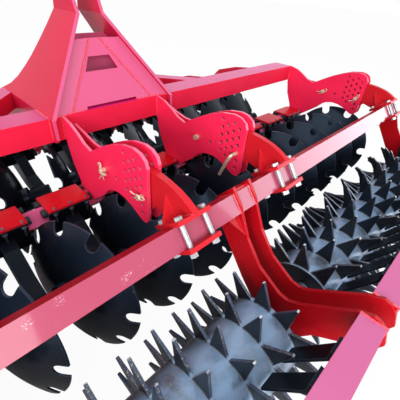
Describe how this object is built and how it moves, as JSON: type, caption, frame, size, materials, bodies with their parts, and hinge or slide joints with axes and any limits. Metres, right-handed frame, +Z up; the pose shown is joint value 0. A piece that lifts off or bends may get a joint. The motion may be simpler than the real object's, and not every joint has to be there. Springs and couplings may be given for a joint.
{
  "type": "mounted compact disc harrow",
  "caption": "Mounted compact disc harrow: welded beam frame, rows of scalloped discs on rubber-damped arms, and a split tooth packer roller on a depth-adjustable frame.",
  "frame": {"origin": "centre of the outline seen from above, at ground level", "axes": "+X to the machine's right, +Y the direction of travel, +Z up"},
  "size_m": [3.1924, 2.204, 1.219],
  "materials": {
    "red_paint": "gloss",
    "black_paint": "satin",
    "disc_steel": "satin",
    "roller_steel": "satin",
    "rubber": "matte",
    "zinc": "satin"
  },
  "bodies": {
    "frame": {"main_beam": "red_paint", "headstock": "red_paint", "hitch_pins": "zinc", "braces": "red_paint", "front_bar": "red_paint", "rear_bar": "red_paint", "front_brackets": "red_paint", "plates_far_left": "red_paint", "plates_left": "red_paint", "plates_right": "red_paint", "plates_far_right": "red_paint", "pivot_pins": "zinc", "position_pins": "zinc", "front_lids": "red_paint", "front_boxes": "black_paint", "front_rubbers": "rubber", "front_arms": "black_paint", "rear_lids": "red_paint", "rear_boxes": "black_paint", "rear_rubbers": "rubber", "rear_arms": "black_paint"},
    "disc_f1": {"disc_f1": "disc_steel"},
    "disc_f2": {"disc_f2": "disc_steel"},
    "disc_f3": {"disc_f3": "disc_steel"},
    "disc_f4": {"disc_f4": "disc_steel"},
    "disc_f5": {"disc_f5": "disc_steel"},
    "disc_f6": {"disc_f6": "disc_steel"},
    "disc_f7": {"disc_f7": "disc_steel"},
    "disc_f8": {"disc_f8": "disc_steel"},
    "disc_f9": {"disc_f9": "disc_steel"},
    "disc_f10": {"disc_f10": "disc_steel"},
    "disc_f11": {"disc_f11": "disc_steel"},
    "disc_f12": {"disc_f12": "disc_steel"},
    "disc_r1": {"disc_r1": "disc_steel"},
    "disc_r2": {"disc_r2": "disc_steel"},
    "disc_r3": {"disc_r3": "disc_steel"},
    "disc_r4": {"disc_r4": "disc_steel"},
    "disc_r5": {"disc_r5": "disc_steel"},
    "disc_r6": {"disc_r6": "disc_steel"},
    "disc_r7": {"disc_r7": "disc_steel"},
    "disc_r8": {"disc_r8": "disc_steel"},
    "disc_r9": {"disc_r9": "disc_steel"},
    "disc_r10": {"disc_r10": "disc_steel"},
    "disc_r11": {"disc_r11": "disc_steel"},
    "disc_r12": {"disc_r12": "disc_steel"},
    "roller_frame": {"roller_beam": "red_paint", "roller_arms": "red_paint", "beam_clamps": "red_paint", "clamp_bolts": "zinc", "hangers": "red_paint", "scraper_bars": "red_paint", "scrapers": "black_paint"},
    "roller_left": {"roller_left": "roller_steel"},
    "roller_right": {"roller_right": "roller_steel"}
  },
  "joints": [
    {"name": "disc_f1_spin", "type": "hinge", "parent": "frame", "child": "disc_f1", "pos_m": [-1.365, 0.4, 0.2886], "axis": [-0.947, 0.2895, -0.1392], "continuous": true},
    {"name": "disc_f2_spin", "type": "hinge", "parent": "frame", "child": "disc_f2", "pos_m": [-1.115, 0.4, 0.2886], "axis": [-0.947, 0.2895, -0.1392], "continuous": true},
    {"name": "disc_f3_spin", "type": "hinge", "parent": "frame", "child": "disc_f3", "pos_m": [-0.865, 0.4, 0.2886], "axis": [-0.947, 0.2895, -0.1392], "continuous": true},
    {"name": "disc_f4_spin", "type": "hinge", "parent": "frame", "child": "disc_f4", "pos_m": [-0.615, 0.4, 0.2886], "axis": [-0.947, 0.2895, -0.1392], "continuous": true},
    {"name": "disc_f5_spin", "type": "hinge", "parent": "frame", "child": "disc_f5", "pos_m": [-0.365, 0.4, 0.2886], "axis": [-0.947, 0.2895, -0.1392], "continuous": true},
    {"name": "disc_f6_spin", "type": "hinge", "parent": "frame", "child": "disc_f6", "pos_m": [-0.115, 0.4, 0.2886], "axis": [-0.947, 0.2895, -0.1392], "continuous": true},
    {"name": "disc_f7_spin", "type": "hinge", "parent": "frame", "child": "disc_f7", "pos_m": [0.135, 0.4, 0.2886], "axis": [-0.947, 0.2895, -0.1392], "continuous": true},
    {"name": "disc_f8_spin", "type": "hinge", "parent": "frame", "child": "disc_f8", "pos_m": [0.385, 0.4, 0.2886], "axis": [-0.947, 0.2895, -0.1392], "continuous": true},
    {"name": "disc_f9_spin", "type": "hinge", "parent": "frame", "child": "disc_f9", "pos_m": [0.635, 0.4, 0.2886], "axis": [-0.947, 0.2895, -0.1392], "continuous": true},
    {"name": "disc_f10_spin", "type": "hinge", "parent": "frame", "child": "disc_f10", "pos_m": [0.885, 0.4, 0.2886], "axis": [-0.947, 0.2895, -0.1392], "continuous": true},
    {"name": "disc_f11_spin", "type": "hinge", "parent": "frame", "child": "disc_f11", "pos_m": [1.135, 0.4, 0.2886], "axis": [-0.947, 0.2895, -0.1392], "continuous": true},
    {"name": "disc_f12_spin", "type": "hinge", "parent": "frame", "child": "disc_f12", "pos_m": [1.385, 0.4, 0.2886], "axis": [-0.947, 0.2895, -0.1392], "continuous": true},
    {"name": "disc_r1_spin", "type": "hinge", "parent": "frame", "child": "disc_r1", "pos_m": [-1.385, -0.279, 0.2886], "axis": [0.947, 0.2895, -0.1392], "continuous": true},
    {"name": "disc_r2_spin", "type": "hinge", "parent": "frame", "child": "disc_r2", "pos_m": [-1.135, -0.279, 0.2886], "axis": [0.947, 0.2895, -0.1392], "continuous": true},
    {"name": "disc_r3_spin", "type": "hinge", "parent": "frame", "child": "disc_r3", "pos_m": [-0.885, -0.279, 0.2886], "axis": [0.947, 0.2895, -0.1392], "continuous": true},
    {"name": "disc_r4_spin", "type": "hinge", "parent": "frame", "child": "disc_r4", "pos_m": [-0.635, -0.279, 0.2886], "axis": [0.947, 0.2895, -0.1392], "continuous": true},
    {"name": "disc_r5_spin", "type": "hinge", "parent": "frame", "child": "disc_r5", "pos_m": [-0.385, -0.279, 0.2886], "axis": [0.947, 0.2895, -0.1392], "continuous": true},
    {"name": "disc_r6_spin", "type": "hinge", "parent": "frame", "child": "disc_r6", "pos_m": [-0.135, -0.279, 0.2886], "axis": [0.947, 0.2895, -0.1392], "continuous": true},
    {"name": "disc_r7_spin", "type": "hinge", "parent": "frame", "child": "disc_r7", "pos_m": [0.115, -0.279, 0.2886], "axis": [0.947, 0.2895, -0.1392], "continuous": true},
    {"name": "disc_r8_spin", "type": "hinge", "parent": "frame", "child": "disc_r8", "pos_m": [0.365, -0.279, 0.2886], "axis": [0.947, 0.2895, -0.1392], "continuous": true},
    {"name": "disc_r9_spin", "type": "hinge", "parent": "frame", "child": "disc_r9", "pos_m": [0.615, -0.279, 0.2886], "axis": [0.947, 0.2895, -0.1392], "continuous": true},
    {"name": "disc_r10_spin", "type": "hinge", "parent": "frame", "child": "disc_r10", "pos_m": [0.865, -0.279, 0.2886], "axis": [0.947, 0.2895, -0.1392], "continuous": true},
    {"name": "disc_r11_spin", "type": "hinge", "parent": "frame", "child": "disc_r11", "pos_m": [1.115, -0.279, 0.2886], "axis": [0.947, 0.2895, -0.1392], "continuous": true},
    {"name": "disc_r12_spin", "type": "hinge", "parent": "frame", "child": "disc_r12", "pos_m": [1.365, -0.279, 0.2886], "axis": [0.947, 0.2895, -0.1392], "continuous": true},
    {"name": "roller_depth", "type": "hinge", "parent": "frame", "child": "roller_frame", "pos_m": [0, -0.116, 0.633], "axis": [1, 0, 0], "range_deg": [-10, 8]},
    {"name": "roller_left_spin", "type": "hinge", "parent": "roller_frame", "child": "roller_left", "pos_m": [0, -0.803, 0.24], "axis": [1, 0, 0], "continuous": true},
    {"name": "roller_right_spin", "type": "hinge", "parent": "roller_frame", "child": "roller_right", "pos_m": [0, -0.803, 0.24], "axis": [1, 0, 0], "continuous": true}
  ]
}
